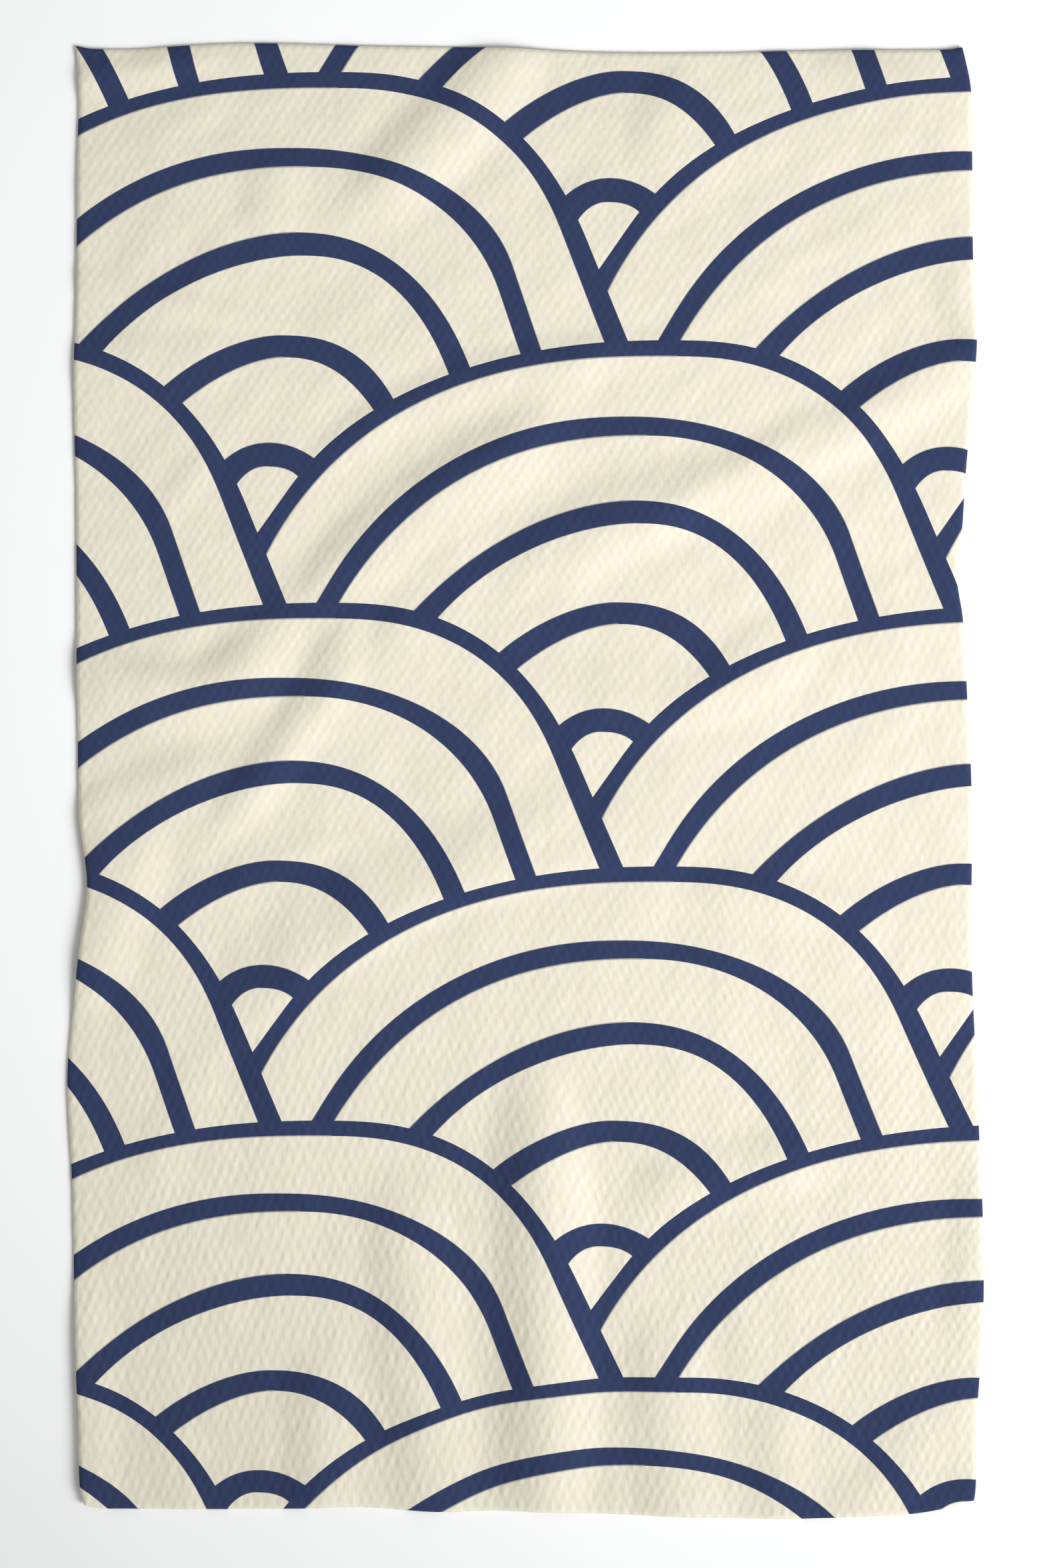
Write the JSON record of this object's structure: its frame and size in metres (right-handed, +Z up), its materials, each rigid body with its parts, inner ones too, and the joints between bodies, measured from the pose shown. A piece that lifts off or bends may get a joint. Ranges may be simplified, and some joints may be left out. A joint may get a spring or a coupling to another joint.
{
  "type": "tea towel",
  "caption": "Rectangular printed cloth with hemmed edges, lying face up in soft folds, for drying dishes and hands.",
  "frame": {"origin": "centre of the towel's outline, on the surface that it lies on", "axes": "+X across the towel to the right of its printed face, +Y along the towel to its top edge, +Z up, out of its printed face"},
  "size_m": [0.4676, 0.7526, 0.0072],
  "materials": {
    "printed_cloth": "matt, finely textured, cream with a dark blue print"
  },
  "bodies": {
    "root": {"towel": "printed_cloth"}
  },
  "joints": []
}
